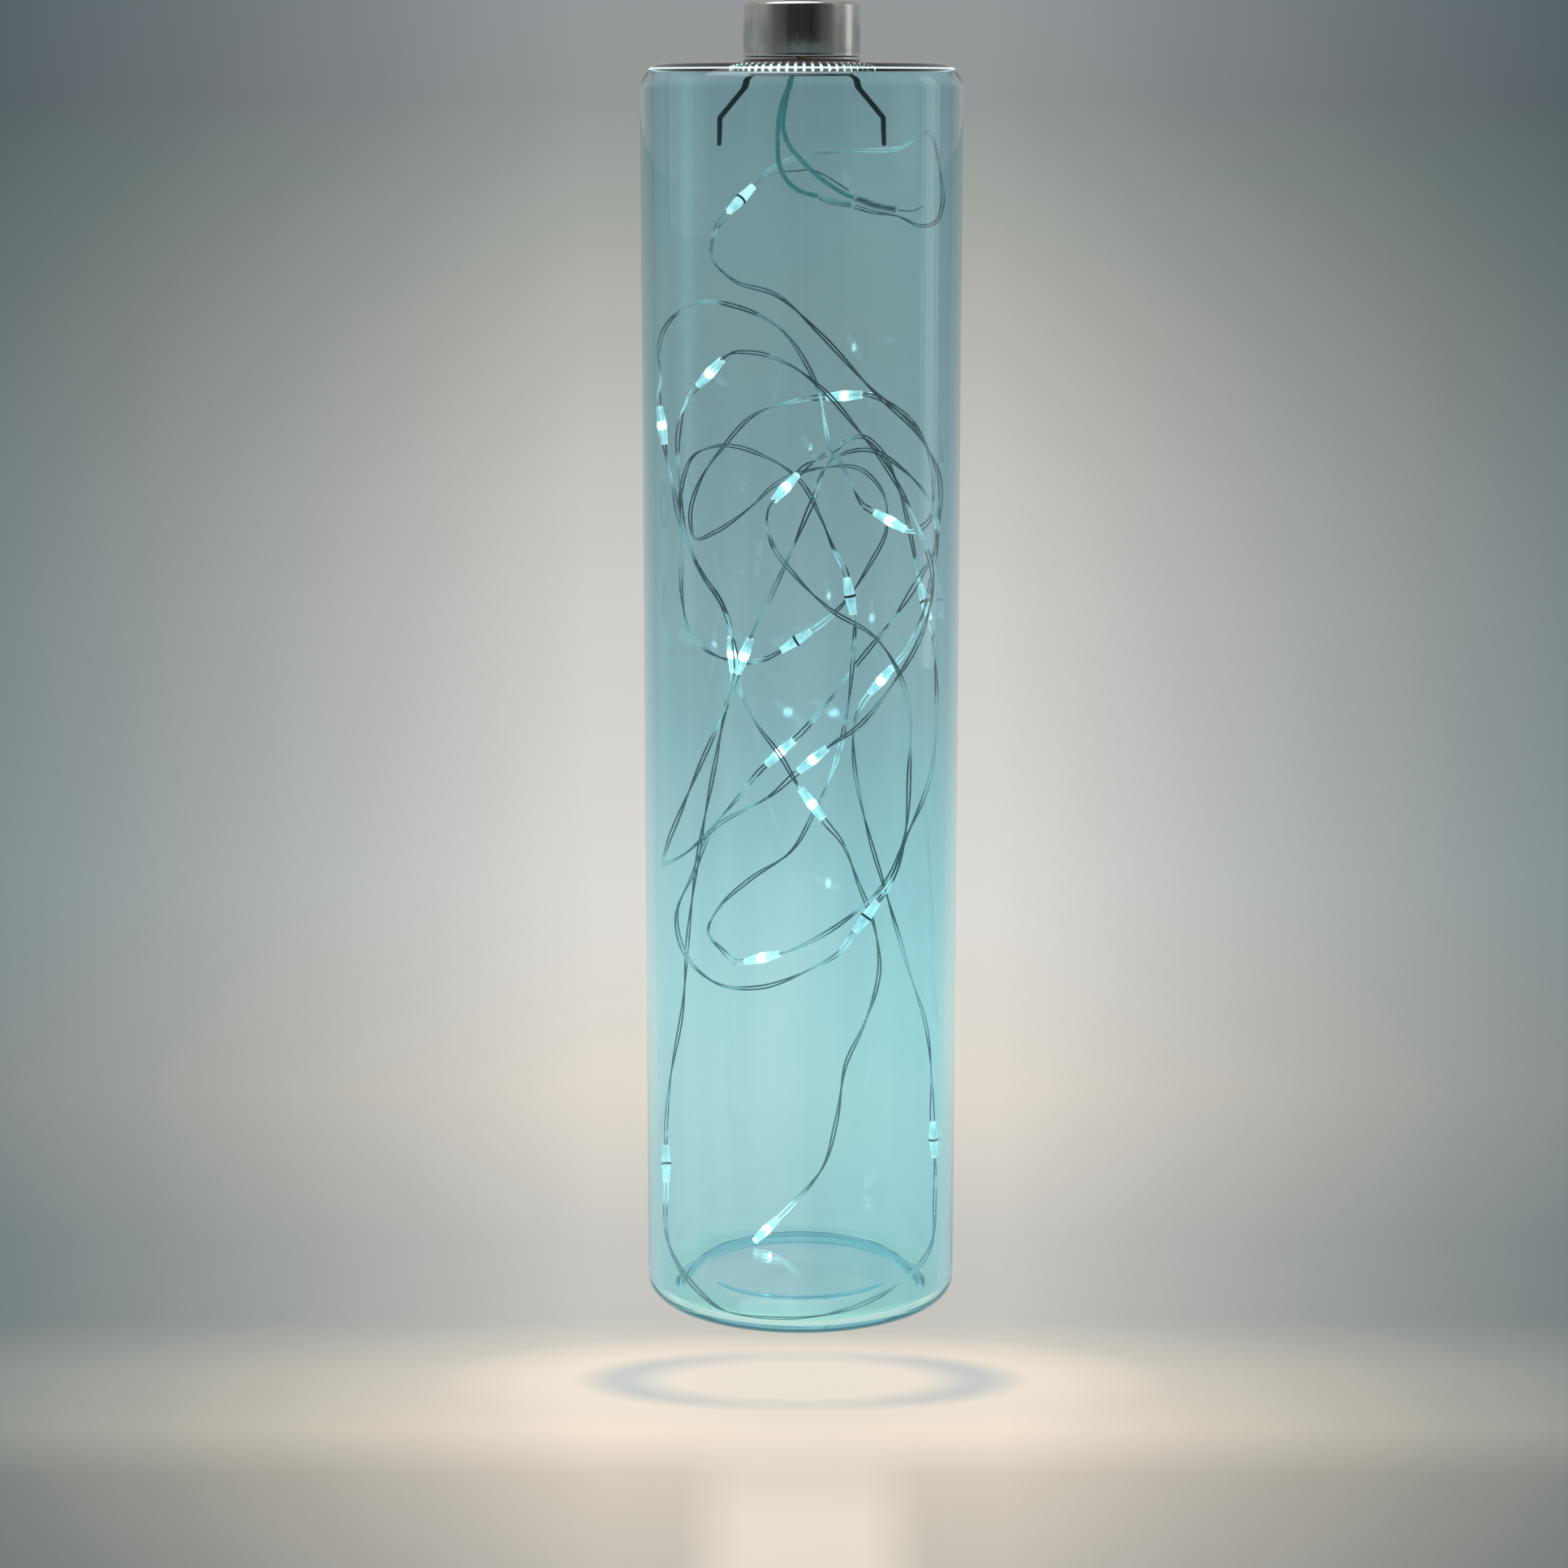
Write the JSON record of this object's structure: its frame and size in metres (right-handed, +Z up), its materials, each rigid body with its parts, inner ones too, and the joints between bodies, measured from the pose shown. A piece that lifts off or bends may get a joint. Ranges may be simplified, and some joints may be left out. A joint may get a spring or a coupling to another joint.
{
  "type": "battery pendant light",
  "caption": "Closed glass cylinder with a string of light beads inside, hung from a metal cap that holds the coin cells, switch and loop.",
  "frame": {"origin": "centre of the glass cylinder's base, on the plane it would stand on", "axes": "+Z up along the cylinder to the hanging loop, +Y away from the viewer, +X to the viewer's right; the loop lies in the X and Z plane"},
  "size_m": [0.066, 0.066, 0.2846],
  "materials": {
    "teal_glass": "clear teal tint, polished",
    "nickel": "satin nickel plate",
    "spring_steel": "dark oiled spring wire",
    "black_plastic": "matt moulded",
    "white_plastic": "matt moulded",
    "grey_rubber": "soft matt",
    "cell_steel": "satin",
    "contact_brass": "pressed sheet",
    "board_green": "lacquered board",
    "lead_insulation": "smooth insulation",
    "clear_sleeve": "shrunk clear tube",
    "silver_wire": "bright lacquered wire",
    "bead_resin": "clear resin, lit from inside"
  },
  "bodies": {
    "glass": {"glass_cylinder": "teal_glass", "string_wire": "silver_wire", "return_wire": "silver_wire", "splice_tail": "silver_wire", "heat_shrink_a": "clear_sleeve", "heat_shrink_b": "clear_sleeve", "led_bead_01": "bead_resin", "led_bead_02": "bead_resin", "led_bead_03": "bead_resin", "led_bead_04": "bead_resin", "led_bead_05": "bead_resin", "led_bead_06": "bead_resin", "led_bead_07": "bead_resin", "led_bead_08": "bead_resin", "led_bead_09": "bead_resin", "led_bead_10": "bead_resin", "led_bead_11": "bead_resin", "led_bead_12": "bead_resin", "led_bead_13": "bead_resin", "led_bead_14": "bead_resin", "led_bead_15": "bead_resin", "led_bead_16": "bead_resin", "led_bead_17": "bead_resin", "led_bead_18": "bead_resin", "led_bead_19": "bead_resin", "led_bead_20": "bead_resin"},
    "battery_unit": {"holder_base": "black_plastic", "rubber_gasket": "grey_rubber", "leg_pin_left": "nickel", "leg_pin_right": "nickel", "lead_grommet": "grey_rubber", "battery_tray": "white_plastic", "coin_cell_lower": "cell_steel", "coin_cell_upper": "cell_steel", "contact_negative": "contact_brass", "contact_positive": "contact_brass", "feed_strip": "contact_brass", "circuit_board": "board_green", "resistor": "black_plastic", "switch_body": "nickel", "lead_wire_a": "lead_insulation", "lead_wire_b": "lead_insulation"},
    "leg_left": {"spring_leg_left": "spring_steel"},
    "leg_right": {"spring_leg_right": "spring_steel"},
    "slider": {"switch_slider": "white_plastic"},
    "cap": {"cap_shell": "nickel", "hanger_bracket": "nickel", "bracket_rivet_front": "nickel", "bracket_rivet_back": "nickel"},
    "loop": {"hanging_loop": "nickel"}
  },
  "joints": [
    {"name": "unit_pull", "type": "slide", "parent": "glass", "child": "battery_unit", "axis": [0, 0, 1], "range_m": [0, 0.006], "deforming": ["lead_wire_a", "lead_wire_b"]},
    {"name": "leg_left_fold", "type": "hinge", "parent": "battery_unit", "child": "leg_left", "pos_m": [-0.0062, 0, 0.25925], "axis": [0, -1, 0], "range_deg": [0, 37.5]},
    {"name": "leg_right_fold", "type": "hinge", "parent": "battery_unit", "child": "leg_right", "pos_m": [0.0062, 0, 0.25925], "axis": [0, 1, 0], "range_deg": [0, 37.5]},
    {"name": "switch_slide", "type": "slide", "parent": "battery_unit", "child": "slider", "axis": [-1, 0, 0], "range_m": [0, 0.002]},
    {"name": "cap_lift", "type": "slide", "parent": "battery_unit", "child": "cap", "axis": [0, 0, 1], "range_m": [0, 0.015]},
    {"name": "loop_swing", "type": "hinge", "parent": "cap", "child": "loop", "pos_m": [0, 0, 0.27425], "axis": [1, 0, 0], "range_deg": [-80, 80]}
  ],
  "couplings": [
    {"joint": "leg_left_fold", "follows": "unit_pull", "rad_per_m": 104.7},
    {"joint": "leg_right_fold", "follows": "unit_pull", "rad_per_m": 104.7}
  ]
}
